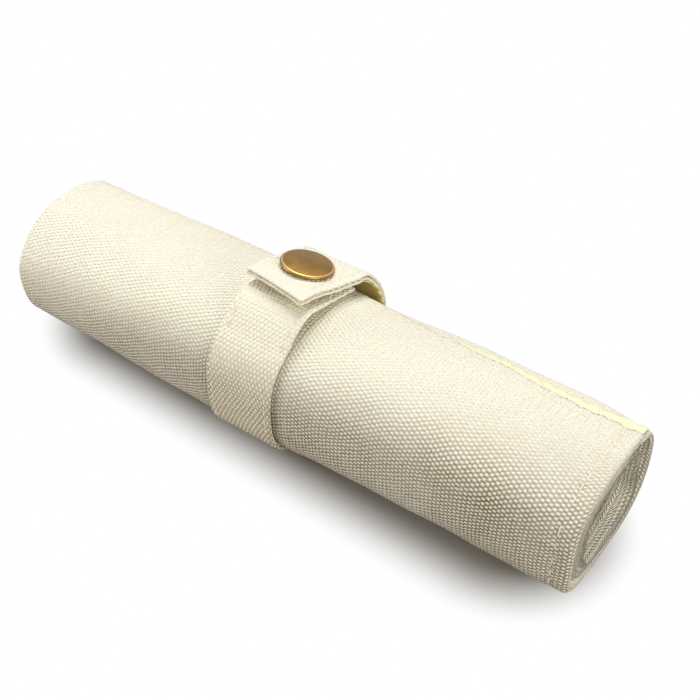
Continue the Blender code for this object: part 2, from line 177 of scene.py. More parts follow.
@cache
def roll_outline(x, turn):
    """The outline's unit direction across and up at a turn. Each is a weighted mean of five
    nearby, so that the quarters run together; their sum is set to keep the roll's size."""
    squareness = section(x)[0][3:]
    full_size = 8.93
    across = up = 0
    for shift, weight in ((-12, 1), (-6, 2), (0, 3), (6, 2), (12, 1)):
        c, s = cos(radians(turn + shift)), sin(radians(turn + shift))
        quarter = (0 if c >= 0 else 1) if s >= 0 else (2 if c < 0 else 3)
        power = 2 / squareness[quarter]
        across += weight * abs(c) ** power * (1 if c >= 0 else -1)
        up += weight * abs(s) ** power * (1 if s >= 0 else -1)
    return across / full_size, up / full_size


def roll_point(x, turn, below):
    """Place on the roll at X and a turn in degrees (0 back, 90 top, 180 front, 270 bottom)."""
    (width, height, lean, *_), away = section(x)
    lift = STRAP_LIFT * (1 - away)
    half_height = (height - lift) / 2
    across, up = roll_outline(x, round(turn % 360, 3))
    depth = wind_depth(x, turn) + below - swell(x, round(turn % 360, 3))
    y = (width / 2 - depth) * across
    z = (half_height - depth) * up
    lowest = wind_depth(x, floor(turn / 360) * 360 + 270) + below
    z = max(z, lowest + FLOOR_CLEAR - half_height)
    return Vector((x, y + lean * z, lift + half_height + z))


def sheet_profile(half, thickness, edge_thickness, edge_run, rounding=6):
    """Cut through a sheet along X: (x, depth) pairs round its two faces and two ends. The
    steps are finer at the right, where the strip shows."""
    radius = edge_thickness / 2
    coarse, fine = 58, 78
    finer_from = 0.030
    across = [blend(-half + radius, finer_from, i / coarse) for i in range(coarse)]
    across += [blend(finer_from, half - radius, i / fine) for i in range(fine + 1)]
    outer = [(x, 0) for x in across]
    right = [(half - radius + radius * sin(a), radius - radius * cos(a))
             for a in (pi * i / rounding for i in range(1, rounding))]
    inner = []
    for x in reversed(across):
        folded = ease(half - edge_run, half - 0.75 * edge_run, abs(x))
        inner.append((x, blend(thickness, edge_thickness, folded)))
    left = [(-x, edge_thickness - depth) for x, depth in right]
    return outer + right + inner + left


def made_piece(name, shape, finish):
    """A visible piece from its finished shape."""
    bmesh.ops.recalc_face_normals(shape, faces=shape.faces)
    mesh = bpy.data.meshes.new(name)
    shape.to_mesh(mesh)
    shape.free()
    mesh.materials.append(finish)
    piece = bpy.data.objects.new(name, mesh)
    bpy.context.collection.objects.link(piece)
    return piece


def closed_rows(name, rows, marks, finish):
    """A closed skin through equal loops of points; marks are the cloth places of each row's
    points, with one more for the way back to the first."""
    shape = bmesh.new()
    rings = [[shape.verts.new(point) for point in row] for row in rows]
    layer = shape.loops.layers.uv.new("cloth")
    count = len(rings[0])
    for step, (near, far) in enumerate(zip(rings, rings[1:])):
        for index in range(count):
            after = (index + 1) % count
            face = shape.faces.new((near[index], near[after], far[after], far[index]))
            face.smooth = True
            places = (marks[step][index], marks[step][index + 1],
                      marks[step + 1][index + 1], marks[step + 1][index])
            for loop, place in zip(face.loops, places):
                loop[layer].uv = place
    for ring, row_marks in ((rings[0], marks[0]), (rings[-1], marks[-1])):
        face = shape.faces.new(ring)
        for loop, place in zip(face.loops, row_marks):
            loop[layer].uv = place
    return made_piece(name, shape, finish)


class Reading:
    """What one shader node gives. Arithmetic on numbers adds Math nodes."""

    def __init__(self, finish, socket):
        self.finish = finish
        self.socket = socket

    def work(self, operation, *values):
        inputs = dict(enumerate((self, *values)))
        return self.finish.node("ShaderNodeMath", {"operation": operation}, inputs)

    def __add__(self, other):
        return self.work("ADD", other)

    def __sub__(self, other):
        return self.work("SUBTRACT", other)

    def __rsub__(self, other):
        inputs = {0: other, 1: self}
        return self.finish.node("ShaderNodeMath", {"operation": "SUBTRACT"}, inputs)

    def __mul__(self, other):
        return self.work("MULTIPLY", other)

    def __truediv__(self, other):
        return self.work("DIVIDE", other)

    def __pow__(self, other):
        return self.work("POWER", other)

    __radd__ = __add__
    __rmul__ = __mul__


class Nodes:
    """The nodes behind one shader, which may be a material's or the room's."""

    def __init__(self, tree, shader):
        self.tree = tree
        self.shader = tree.nodes[shader]

    def put(self, name, value):
        """Sets a socket of the shader, or links what is read into it."""
        if isinstance(value, Reading):
            self.tree.links.new(value.socket, self.shader.inputs[name])
        else:
            self.shader.inputs[name].default_value = value

    def node(self, kind, settings, inputs, gives=0):
        """Any node, from its type, its settings, its sockets' values or links, and which of
        its outputs is read."""
        made = self.tree.nodes.new(kind)
        for name, value in settings.items():
            setattr(made, name, value)
        for key, value in inputs.items():
            if isinstance(value, Reading):
                self.tree.links.new(value.socket, made.inputs[key])
            else:
                made.inputs[key].default_value = value
        return Reading(self, made.outputs[gives])

    def mix(self, share, near, far):
        """A colour between two, each written out or read from a node."""
        pair = [(*value, 1) if isinstance(value, tuple) else value for value in (near, far)]
        inputs = {0: share, 6: pair[0], 7: pair[1]}
        return self.node("ShaderNodeMix", {"data_type": "RGBA"}, inputs, 2)

    def bumps(self, height, depth):
        inputs = {"Strength": 1.0, "Distance": depth, "Height": height}
        return self.node("ShaderNodeBump", {}, inputs)

    def solid_place(self):
        """The place in the piece itself, in metres."""
        return self.node("ShaderNodeTexCoord", {}, {}, "Object")

    def noise(self, place, scale, detail=2.0):
        inputs = {"Vector": place, "Scale": scale, "Detail": detail}
        return self.node("ShaderNodeTexNoise", {}, inputs)

    def level(self, value, low, high, start=0.0, end=1.0):
        """Goes smoothly from start to end while the value goes from low to high."""
        return self.node("ShaderNodeMapRange", {"interpolation_type": "SMOOTHSTEP"},
                         {0: value, 1: low, 2: high, 3: start, 4: end})


class Finish(Nodes):
    """One material, made node by node."""

    def __init__(self, name, roughness, metallic=0):
        self.material = bpy.data.materials.new(name)
        self.material.use_nodes = True
        super().__init__(self.material.node_tree, "Principled BSDF")
        self.put("Roughness", roughness)
        self.put("Metallic", metallic)


def linear(red, green, blue):
    """Colour as a shader takes it, from its screen values 0 to 255."""
    values = (value / 255 for value in (red, green, blue))
    return tuple(v / 12.92 if v <= 0.04045 else ((v + 0.055) / 1.055) ** 2.4 for v in values)


WEFT_PITCH = 0.00112
WARP_PITCH = 0.00062
# Painted shade in the weave's hollows: full below the first height and gone above the second,
# measured along this slant, so that it is deepest low at the front and to the right
LESS_PAINTED_SHADE_TOWARD = (-0.12, 0.5, 1)
SHADED_BELOW = 0.005
OPEN_ABOVE = 0.031


def duck(name, colour, hollow, painted_low_shade, pitches, depth, turned=False):
    """Plain weave of fat yarns: staggered oval floats with hollows round them, painted a little
    darker as shade. Low on the front, more so to the right, the hollows are painted much darker:
    painted shade where the top light grazes the cloth. Pitches are from one yarn to the next,
    along X and round the roll; turned cloth is cut across them."""
    finish = Finish(name, 0.92)
    finish.put("Sheen Weight", 0.1)
    finish.put("Specular IOR Level", 0.2)
    place = finish.node("ShaderNodeUVMap", {"uv_map": "cloth"}, {})

    def grain(scale, detail=1.0, stretch=None):
        """Noise about 0 over the cloth, drawn out along one yarn where stretch is given."""
        at = place
        if stretch:
            stretch = stretch[::-1] if turned else stretch
            at = finish.node("ShaderNodeVectorMath", {"operation": "MULTIPLY"},
                             {0: place, 1: (*stretch, 1)})
        return finish.noise(at, scale, detail) - 0.5

    split = ("ShaderNodeSeparateXYZ", {}, {0: place})
    across = finish.node(*split, 0)
    along, around = across, finish.node(*split, 1)
    if turned:
        along, around = around, along
    # The yarns wander over a centimetre or so and shiver at their own size. A float stands
    # where both yarns' waves are high or both low, and dips a little along its middle.
    wander, shiver = grain(70.0), grain(620.0)
    u = (along / pitches[0] + wander * 1.1 + shiver * 0.5) * pi
    v = (around / pitches[1] + wander * 1.6 + shiver * 0.3) * pi
    floats = u.work("COSINE") * v.work("COSINE") * 0.5 + 0.5 - u.work("SINE") ** 2 * 0.35
    # Thick and thin places run along each yarn, and short fuzz lies over both
    fat = grain(1.0, 2.0, (110, 1500))
    thin = grain(1.0, 2.0, (800, 130))
    fuzz = grain(3200.0, 3.0)
    lit = finish.level(floats + fat * 0.4 + thin * 0.2 + fuzz * 0.3, -0.05, 0.68)
    # Painted shade: low on the roll the hollows take the darker colour, but not on the hems'
    # inner faces
    height = finish.node("ShaderNodeVectorMath", {"operation": "DOT_PRODUCT"},
                         {0: finish.solid_place(), 1: LESS_PAINTED_SHADE_TOWARD}, 1)
    inside = finish.level(across, HALF_LENGTH, HALF_LENGTH + 0.003)
    pale = finish.level(height, SHADED_BELOW, OPEN_ABOVE).work("MAXIMUM", inside)
    tone = finish.mix(lit, finish.mix(pale, painted_low_shade, hollow), colour)
    worn = tuple(value * 0.93 for value in colour)
    patch = finish.level(grain(34.0, 3.0), -0.2, 0.2) * 0.22
    finish.put("Base Color", finish.mix(patch, tone, worn))
    finish.put("Normal", finish.bumps(floats + fat * 0.5 + thin * 0.4 + fuzz * 0.3, depth))
    return finish.material


# Colours: the floats, the hollows painted a little darker as shade, and the hollows' painted
# shade low on the roll
canvas_finish = duck("natural duck", linear(250, 246, 233), linear(242, 234, 211),
                     linear(122, 97, 50), (WEFT_PITCH, WARP_PITCH), 0.00038)

DEGREES_APART = 3.2
EVEN_AFTER = 60
INNER_HEM_THINS = (790, 830)
HEM_WAVE = 0.0041


def turn_at(x, turn):
    """Rows lie evenly round the roll but for the first, which start from the free edge."""
    start = 1 - (turn - START_TURN) / EVEN_AFTER
    return turn + (free_edge(x) - START_TURN) * max(0, start)


def wound_sheet(name, turns, below, profile, finish, ripple=None):
    """A sheet wound with the roll: turns are its rows, below(x, turn) its depth under the
    canvas's outer face and profile(turn) its cut along X."""
    rows = []
    for turn in turns:
        row = []
        for x, depth in profile(turn):
            shift = ripple(x, turn) if ripple else 0
            row.append(roll_point(x, turn_at(x, turn) + shift, below(x, turn) + depth))
        rows.append(row)
    runs = [[0] * len(rows[0])]
    for near, far in zip(rows, rows[1:]):
        runs.append([run + (b - a).length for run, a, b in zip(runs[-1], near, far)])
    front = min(range(len(turns)), key=lambda i: abs(turns[i] - 180))
    marks = []
    for turn, row_runs in zip(turns, runs):
        cut = profile(turn)
        across = [cut[0][0]]
        for (x0, d0), (x1, d1) in zip(cut, cut[1:] + cut[:1]):
            across.append(across[-1] + sqrt((x1 - x0) ** 2 + (d1 - d0) ** 2))
        rounds = [run - start for run, start in zip(row_runs, runs[front])]
        marks.append(list(zip(across, rounds + rounds[:1])))
    return closed_rows(name, rows, marks, finish), sum(runs[-1]) / len(runs[-1])


def canvas_cut(turn):
    """The hem stands full at the front and is pressed thin at the back, at the free edge
    and toward the inner end."""
    full = ease(-0.5, 0.7, -cos(radians(turn))) * (1 - 0.75 * ease(*INNER_HEM_THINS, turn))
    edge = blend(PRESSED_HEM, HEM_THICKNESS, full)
    edge = blend(CANVAS_THICKNESS, edge, ease(0, 14, turn - START_TURN))
    return sheet_profile(HALF_LENGTH, CANVAS_THICKNESS, edge, HEM_LENGTH)


def edge_ripple(x, turn):
    """The free edge waves a little between its stitches."""
    wave = sin(x * 2 * pi / HEM_WAVE + 1.2 * sin(x * 130)) * 0.8
    wave += noise.noise(Vector((x * 160, 2, 0)))
    return wave * (1 - ease(0, 8, turn - START_TURN))


row_count = round(360 * TURNS / DEGREES_APART)
canvas_turns = [START_TURN + 360 * TURNS * index / row_count for index in range(row_count + 1)]
canvas_sheet, canvas_run = wound_sheet("canvas_sheet", canvas_turns, lambda x, turn: 0,
                                       canvas_cut, canvas_finish, edge_ripple)
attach(canvas_sheet, "roll")
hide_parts("outer_canvas")

# Lining: thin pale yellow cotton sewn to the inside of the canvas. Its edge shows past the
# canvas's free edge as a puffed strip that waves between the stitches.
LINING_THICKNESS = 0.0004
LINING_HALF = HALF_LENGTH - 0.0070
PLY_GAP = 0.0001
# The strip in degrees round the roll: its rows' first spread and their number, and its
# width left of the strap, right of it and, added to that, at the corner; then where these
# change in X, how high the strip puffs, and the waves of its edge and of its puff
LINING_PEEP = 12.0
STRIP_ROWS = 10
EDGE_SHOWS = 2.5
STRIP_WIDTH = 10.5
CORNER_WIDER = 11
STRIP_RUN = (0.028, 0.046)
CORNER_RUN = (0.078, 0.0915)
PUFF = 0.0008
STRIP_WAVE = 0.0042
PUFF_WAVE = 0.0043
lining_finish = duck("pale yellow cotton", linear(244, 243, 208), linear(237, 234, 192),
                     linear(216, 208, 148), (0.0006, 0.0006), 0.00004)
# The arch's lining is a darker, browner copy of the same cotton: painted shade for the inside of
# the arch.
shaded_lining = duck("yellow cotton in painted shade", linear(216, 199, 120), linear(202, 183, 98),
                   linear(176, 155, 76), (0.0006, 0.0006), 0.00006)


def lining_ripple(x, turn):
    """Right of the strap an even strip shows, in degrees round the roll, waving a little and
    wider at the corner; elsewhere only its edge shows."""
    out = max(0, START_TURN - turn) / LINING_PEEP
    width = blend(EDGE_SHOWS, STRIP_WIDTH, ease(*STRIP_RUN, x))
    wanted = free_edge(x) - width - CORNER_WIDER * ease(*CORNER_RUN, x)
    wave = sin(x * 2 * pi / STRIP_WAVE + 1.4) * 0.8
    wave += noise.noise(Vector((x * 120, 9, 0))) * 1.4
    return out * (wanted - turn_at(x, START_TURN - LINING_PEEP)) + wave * ease(0.25, 1, out)


def lining_depth(x, turn):
    """Under the canvas, but for the strip past its free edge, which puffs up to the right
    of the strap and comes to rest on the turn below."""
    under = CANVAS_THICKNESS + PLY_GAP
    if turn >= START_TURN:
        return under
    out = (START_TURN - turn) / LINING_PEEP
    puffed = ease(0.036, 0.052, x) * (1 - 0.5 * ease(0.084, 0.0915, x))
    puff = PUFF * puffed * (1 + 0.25 * sin(x * 2 * pi / PUFF_WAVE)) * sin(pi * out ** 0.7)
    below = wind_depth(x, 360 + turn_at(x, turn) + lining_ripple(x, turn))
    resting = below - LINING_THICKNESS - 1.5 * PLY_GAP
    return blend(under, resting, ease(0, 0.6, out)) - puff


def lining_cut(turn):
    """The strip runs out to the ends; inside, the lining stops under the hems."""
    half = blend(HALF_LENGTH - 0.001, LINING_HALF, ease(0, 12, turn - START_TURN))
    return sheet_profile(half, LINING_THICKNESS, LINING_THICKNESS, 0.001)


strip_turns = [START_TURN - LINING_PEEP * (1 - index / STRIP_ROWS)
               for index in range(STRIP_ROWS)]
lining_turns = strip_turns + canvas_turns[:-2]
lining_sheet, lining_run = wound_sheet("lining_sheet", lining_turns, lining_depth, lining_cut,
                                       lining_finish, lining_ripple)
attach(lining_sheet, "roll")
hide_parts("lining")

# Pocket panel: a second, lighter ply of the same canvas, sewn over the lining from the
# inner end, whose pockets hold the straps.
POCKET_THICKNESS = 0.0006
POCKET_FROM = 0.95
pocket_finish = duck("pocket duck", linear(249, 243, 226), linear(226, 213, 180),
                     linear(178, 162, 124), (WEFT_PITCH, WARP_PITCH), 0.0003)
pocket_turns = canvas_turns[round(360 / DEGREES_APART * POCKET_FROM):-3]
pocket_sheet, pocket_run = wound_sheet(
    "pocket_sheet", pocket_turns,
    lambda x, turn: CANVAS_THICKNESS + LINING_THICKNESS + 2 * PLY_GAP,
    lambda turn: sheet_profile(LINING_HALF - 0.0005, POCKET_THICKNESS, POCKET_THICKNESS, 0.001),
    pocket_finish)
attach(pocket_sheet, "roll")
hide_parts("pocket_panel")

# Strap: two plies of the same canvas and lining, cut across the cloth so that the weave
# runs the other way. It passes snugly down the front and under the roll, stands off the
# back as a loose arch and comes forward over the top as the closing tab.
STRAP_WIDTH = 0.0213
STRAP_CANVAS = 0.0010
TAB_CANVAS = 0.0008
STRAP_LINING = 0.0004
STRAP_STACK = 0.0015
STUD_FOOT = Vector((0.00385, 0.04076))
STUD_TILT = radians(14)
SNAP_HEIGHT = 0.0032
TAB_REACH = 0.0125
TAB_TURN = radians(6.5)
TAB_TIP = radians(5)
TAB_LEAN = radians(1.5)
TAB_FLAT_BACK = 0.0066
TAB_SETTLES = (-0.0150, -0.0075)
TAB_NARROWS = 0.035
CORNER_HANGS = 0.0011
SIDE_HANGS = 0.0003
TIP_HANGS = 0.0006
TIP_SKEW = 0.05
# The route: how far the band's end lies behind the stud and the flat ahead of it reaches,
# the turns at which the band leaves its flat, lies snug, passes to the tab's piece and
# leaves the roll as the arch, and how hard the arch is pulled up and back
BAND_BACK = 0.0085
BAND_FLAT = 0.0054
FLAT_TURN = 99
SNUG_TURN = 132
SPLIT_TURN = 284
ARCH_TURN = 315
ARCH_RISE = 0.0198
ARCH_BACK = 0.0112
ROUTE_STEPS = 62
ARCH_STEPS = 24
LINE_SPACING = 0.0007
stud_forward = Vector((-cos(STUD_TILT), sin(STUD_TILT)))
stud_out = Vector((sin(STUD_TILT), cos(STUD_TILT)))
band_seat = STUD_FOOT - stud_out * STRAP_STACK
tab_seat = STUD_FOOT + stud_out * SNAP_HEIGHT


def snug(turn):
    """Place just off the roll under the strap, in the (y, z) plane."""
    point = roll_point(STRAP_X, turn, -0.0003)
    return Vector((point.y, point.z))


def bezier(points, share):
    """A point a share of the way along the curve that four points pull."""
    rest = 1 - share
    weights = (rest ** 3, 3 * rest ** 2 * share, 3 * rest * share ** 2, share ** 3)
    return sum((point * weight for point, weight in zip(points, weights)), Vector((0, 0)))


def smooth_line(points, rounds=2):
    """Rounds a line off by cutting its corners, keeping its ends."""
    for _ in range(rounds):
        cut = [points[0]]
        for near, far in zip(points, points[1:]):
            cut += [near.lerp(far, 0.25), near.lerp(far, 0.75)]
        points = cut + [points[-1]]
    return points


def even_line(points, spacing):
    """The same line with points at even spacing."""
    lengths = [0]
    for near, far in zip(points, points[1:]):
        lengths.append(lengths[-1] + (far - near).length)
    count = max(2, round(lengths[-1] / spacing))
    result, index = [], 0
    for step in range(count + 1):
        wanted = lengths[-1] * step / count
        while index < len(points) - 2 and lengths[index + 1] < wanted:
            index += 1
        span = lengths[index + 1] - lengths[index]
        result.append(points[index].lerp(points[index + 1], (wanted - lengths[index]) / span))
    return result


band_end = band_seat - stud_forward * BAND_BACK
flat_front = band_seat + stud_forward * BAND_FLAT
band_points = [band_end, band_end.lerp(band_seat, 0.5), band_seat, flat_front]
for step in range(1, ROUTE_STEPS + 1):
    turn = FLAT_TURN + (ARCH_TURN - FLAT_TURN) * step / ROUTE_STEPS
    point = snug(turn)
    flat = band_seat + stud_forward * (point - band_seat).dot(stud_forward)
    point = flat.lerp(point, ease(FLAT_TURN, SNUG_TURN, turn))
    if (point - band_seat).dot(stud_forward) > BAND_FLAT + 0.0008 or turn > 180:
        band_points.append(point)
arch_start = snug(ARCH_TURN)
rise = (snug(ARCH_TURN + 1) - snug(ARCH_TURN - 1)).normalized()
arch_end = tab_seat - stud_forward * TAB_FLAT_BACK
pulls = [arch_start, arch_start + rise * ARCH_RISE, arch_end - stud_forward * ARCH_BACK, arch_end]
arch_points = [bezier(pulls, step / ARCH_STEPS) for step in range(1, ARCH_STEPS + 1)]
whole = band_points + arch_points + [tab_seat, tab_seat + stud_forward * TAB_REACH]
strap_line = even_line(smooth_line(whole), LINE_SPACING)
split = min(range(len(strap_line)), key=lambda i: (strap_line[i] - snug(SPLIT_TURN)).length)


def line_sides(line):
    """Outward direction at each point of a line in the (y, z) plane."""
    sides = []
    for index in range(len(line)):
        along = line[min(index + 1, len(line) - 1)] - line[max(index - 1, 0)]
        along.normalize()
        sides.append(Vector((along.y, -along.x)))
    return sides


strap_sides = line_sides(strap_line)
strap_spacing = (strap_line[1] - strap_line[0]).length
arch_top = split + 20


def strap_place(index, across, out):
    """Place on the strap: along its line, across its width and out from its inner face. The
    tab turns and tips a little on its stud, and its sides and tip hang."""
    low = min(max(int(index), 0), len(strap_line) - 2)
    point = strap_line[low].lerp(strap_line[low + 1], index - low)
    side = strap_sides[low].lerp(strap_sides[low + 1], index - low)
    forward = (point - tab_seat).dot(stud_forward)
    if index < arch_top or forward < -0.016:
        spot = point + side * out
        return Vector((STRAP_X + across, spot.x, spot.y))
    settled = ease(*TAB_SETTLES, forward)
    if out < 0:
        out *= blend(1, ease(0.0060, 0.0078, sqrt(across ** 2 + forward ** 2)), settled)
    across *= 1 - TAB_NARROWS * settled
    spot = point + side * out - tab_seat
    forward, height = spot.dot(stud_forward), spot.dot(stud_out)
    tip = ease(0.0045, 0.0128, forward)
    edge = across / STRAP_WIDTH * 2
    hang = CORNER_HANGS * ease(0.011, -0.002, forward) if edge > 0 else SIDE_HANGS
    height -= settled * (across * sin(TAB_LEAN) + hang * edge * edge)
    height -= TIP_HANGS * tip * (1 + 0.4 * edge * edge)
    angle = TAB_TURN * settled
    x = across * cos(angle) - forward * sin(angle)
    forward = across * sin(angle) + forward * cos(angle) + across * TIP_SKEW * tip
    spot = tab_seat + stud_forward * forward + stud_out * height
    return Vector((STRAP_X + x, spot.x, spot.y))


def strap_cut(width, low, high, waves=0.0, steps=14, rounding=5):
    """Cut across a strap ply: (across, out, wave) triples round it."""
    radius = (high - low) / 2
    half = width / 2 - radius
    top = [(blend(-half, half, i / steps), high, waves * abs(2 * i / steps - 1) ** 8)
           for i in range(steps + 1)]
    right = [(half + radius * sin(a), high - radius + radius * cos(a), waves)
             for a in (pi * i / rounding for i in range(1, rounding))]
    bottom = [(x, low, wave) for x, _, wave in reversed(top)]
    left = [(-x, low + high - out, waves) for x, out, _ in right]
    return top + right + bottom + left


def strap_ply(name, first, last, cut, finish, narrowing=0.0):
    """One ply of the strap between two places on its line, narrower on the tab if wanted.
    The tab's end is rounded over."""
    rows, marks = [], []
    around = [cut[0][0]]
    for (x0, o0, _), (x1, o1, _) in zip(cut, cut[1:] + cut[:1]):
        around.append(around[-1] + sqrt((x1 - x0) ** 2 + (o1 - o0) ** 2))
    for index in range(first, last + 1):
        run = index * strap_spacing
        forward = (strap_line[index] - tab_seat).dot(stud_forward)
        on_tab = ease(-0.013, -0.0085, forward) if index > arch_top else 0
        row = []
        for across, out, waves in cut:
            wave = sin(run * 2 * pi / HEM_WAVE)
            wave += 0.8 * noise.noise(Vector((run * 260, 4, across)))
            wider = waves * wave * (1 if across > 0 else -1)
            row.append(strap_place(index, (across + wider) * (1 - narrowing * on_tab), out))
        rows.append(row)
        marks.append([(u, run) for u in around])
    middle = (cut[0][1] + cut[len(cut) // 2][1]) / 2
    half = abs(cut[0][1] - middle)
    for angle in (radians(35), radians(65), radians(85)) if last == len(strap_line) - 1 else ():
        beyond = half * sin(angle) / strap_spacing
        rows.append([strap_place(last + beyond, across * (1 - narrowing), middle
                                 + (out - middle) * cos(angle)) for across, out, _ in cut])
        marks.append([(u, (last + beyond) * strap_spacing) for u in around])
    return closed_rows(name, rows, marks, finish)


strap_finish = duck("strap duck", linear(250, 245, 230), linear(243, 236, 214),
                    linear(160, 139, 96), (WEFT_PITCH, WARP_PITCH), 0.0003, turned=True)
last = len(strap_line) - 1
front_band = strap_ply("front_band", 0, split,
                       strap_cut(STRAP_WIDTH, STRAP_STACK - STRAP_CANVAS, STRAP_STACK, 0.00005),
                       strap_finish)
front_band_lining = strap_ply("front_band_lining", 0, split,
                              strap_cut(STRAP_WIDTH - 0.0014, 0.0, STRAP_LINING), lining_finish)
arch_and_tab = strap_ply("arch_and_tab", split, last,
                         strap_cut(STRAP_WIDTH, STRAP_STACK - TAB_CANVAS, STRAP_STACK, 0.00006),
                         strap_finish)
turned_hem = strap_ply("turned_hem", split, last,
                       strap_cut(STRAP_WIDTH + 0.0004, -0.0004, 0.0004, 0.00008), strap_finish)
arch_lining = strap_ply("arch_lining", split, last - 2,
                        strap_cut(STRAP_WIDTH + 0.0006, -0.0008, -0.00045, 0.0006),
                        shaded_lining, narrowing=0.25)
for piece, node, slot in ((front_band, "band_canvas", "canvas"),
                          (front_band_lining, "band_lining", "lining")):
    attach(piece, "roll")
    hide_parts(node)
for piece, node, slot in ((arch_and_tab, "tab_canvas", "canvas"),
                          (turned_hem, "tab_canvas", "canvas"),
                          (arch_lining, "tab_lining", "lining")):
    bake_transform(piece)
    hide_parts(node)

# Press stud cap: a 15 mm shell of antique-plated brass, domed, with its rim rolled under
# and a painted highlight along its edge. Its tubular post runs down through the tab.
CAP_RADIUS = 0.0075
RIM = 0.00055
RIM_HEIGHT = 0.0007
DOME_RADIUS = 0.0068
DOME_FOOT = 0.00125
DOME_RISE = 0.0006
CAP_X = STRAP_X - 0.0002
cap_foot = tab_seat + stud_out * (STRAP_STACK + 0.0002)


def lathe(name, outline, foot, finish, segments=96):
    """A turned piece on the stud's axis from its outline (radius, height over the foot)."""
    shape = bmesh.new()
    turns = [2 * pi * index / segments for index in range(segments)]
    rings = []
    for radius, height in outline:
        if radius == 0:
            rings.append([shape.verts.new((0, 0, height))] * segments)
        else:
            rings.append([shape.verts.new((radius * cos(turn), radius * sin(turn), height))
                          for turn in turns])
    for near, far in zip(rings, rings[1:] + rings[:1]):
        for index in range(segments):
            after = (index + 1) % segments
            corners = list(dict.fromkeys([near[index], near[after], far[after], far[index]]))
            if len(corners) > 2:
                shape.faces.new(corners)
    tipped = Matrix.Rotation(-STUD_TILT, 4, "X") @ Matrix.Rotation(TAB_TIP, 4, "Y")
    shape.transform(Matrix.Translation((CAP_X, foot.x, foot.y)) @ tipped)
    for face in shape.faces:
        face.smooth = True
    return made_piece(name, shape, finish)


def antique_brass(name, colour, worn, edge, roughness):
    """Darkened brass, lighter in clouds where it is worn, with a painted highlight on the rim's
    edge: a ring between the dome and the rim's outer side."""
    finish = Finish(name, roughness, 1)
    place = finish.solid_place()
    cloud, fine = finish.noise(place, 260.0, 4.0), finish.noise(place, 1800.0, 3.0)
    rubbed = finish.node("ShaderNodeMapRange", {}, {0: cloud, 1: 0.35, 2: 0.7, 3: 0.0, 4: 0.5})
    reach = finish.node("ShaderNodeVectorMath", {"operation": "DISTANCE"},
                        {0: place, 1: (CAP_X, *cap_foot)}, 1)
    # Painted highlight: a ring round the rim, in the edge colour
    painted_highlight = finish.level(reach, DOME_RADIUS + 0.00005, DOME_RADIUS + 0.00025, 0.0, 0.8)
    painted_highlight = painted_highlight * finish.level(reach, CAP_RADIUS - 0.0003, CAP_RADIUS, 1.0, 0.2)
    finish.put("Base Color", finish.mix(painted_highlight, finish.mix(rubbed, colour, worn), edge))
    finish.put("Roughness", (cloud - 0.5) * 0.12 + roughness)
    finish.put("Normal", finish.bumps(fine, 0.00001))
    return finish.material


# The third colour is the painted highlight on the rim
brass_finish = antique_brass("antique brass", linear(122, 93, 45), linear(144, 113, 58),
                             linear(208, 172, 112), 0.35)
dome = [(DOME_RADIUS * share, DOME_FOOT + DOME_RISE * (1 - share ** 2))
        for share in (index / 16 for index in range(17))]
rim = [(CAP_RADIUS - RIM + RIM * cos(a), RIM_HEIGHT + RIM * sin(a))
       for a in (radians(angle) for angle in range(75, -91, -15))]
# Under the dome and down the post, as (radius, height) points
under = [(0.0058, 0.0002), (0.0058, 0.0007), (0.0014, 0.0007)]
post = [(0.0014, -0.0022), (0.0021, -0.0022), (0.0021, -0.0023), (0, -0.0023)]
domed_cap = lathe("domed_cap", dome + rim + under + post, cap_foot, brass_finish)
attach(domed_cap, "tab")
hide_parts("snap_cap")

# Press stud, hidden parts: the socket under the tab with its spring ring, and the stud and
# its rivet on the strap. They keep their solids, in plated brass and a bright spring wire.
wire_finish = Finish("spring wire", 0.28, 1)
wire_grain = wire_finish.noise(wire_finish.solid_place(), 2400.0)
wire_finish.put("Base Color", wire_finish.mix(wire_grain, (0.5, 0.48, 0.45), (0.64, 0.62, 0.6)))
for name in ("snap_socket", "snap_stud", "snap_post", "snap_spring"):
    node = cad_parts[name]
    node.data.materials.clear()
    node.data.materials.append(wire_finish.material if name == "snap_spring" else brass_finish)

# Stitching: undyed cotton thread. One row holds each end hem, one the free edge, and the
# strap has a row along each side.
THREAD = 0.00022
STITCH_SHOWS = 0.7
HEM_PITCH = 0.0042
EDGE_PITCH = 0.0039
STRAP_PITCH = 0.0036
STRAP_ROW_IN = 0.0018
EDGE_ROW_BEHIND = 8
thread_finish = Finish("cotton thread", 0.85)
ply = thread_finish.noise(thread_finish.solid_place(), 1900.0)
thread_finish.put("Base Color",
                  thread_finish.mix(ply, linear(222, 212, 186), linear(246, 240, 222)))
thread_finish.put("Normal", thread_finish.bumps(ply, 0.00008))
cotton_thread = thread_finish.material


def stitches(name, paths, finish, sides=6, steps=6):
    """Short raised threads, each from a start to an end with the way out of the cloth."""
    shape = bmesh.new()
    for start, end, out in paths:
        along = end - start
        side = along.cross(out).normalized()
        rings = []
        for step in range(steps + 1):
            share = step / steps
            centre = start + along * share + out * (THREAD * (2.2 * share * (1 - share)) - 0.0001)
            size = THREAD * (0.35 + 0.65 * sin(pi * share) ** 0.5)
            turns = [2 * pi * index / sides for index in range(sides)]
            rings.append([
                shape.verts.new(centre + side * size * cos(turn) + out * size * sin(turn))
                for turn in turns])
        for near, far in zip(rings, rings[1:]):
            for index in range(sides):
                after = (index + 1) % sides
                shape.faces.new((near[index], near[after], far[after], far[index]))
        shape.faces.new(rings[0])
        shape.faces.new(rings[-1])
    for face in shape.faces:
        face.smooth = True
    return made_piece(name, shape, finish)


def one_stitch(place, start, reach):
    """Start, end and way out of the cloth of a stitch on a row that place(along, depth)
    gives; the thread shows for part of its reach."""
    shows = reach * STITCH_SHOWS
    out = place(start + shows / 2, 0) - place(start + shows / 2, 0.001)
    return place(start, 0), place(start + shows, 0), out.normalized()


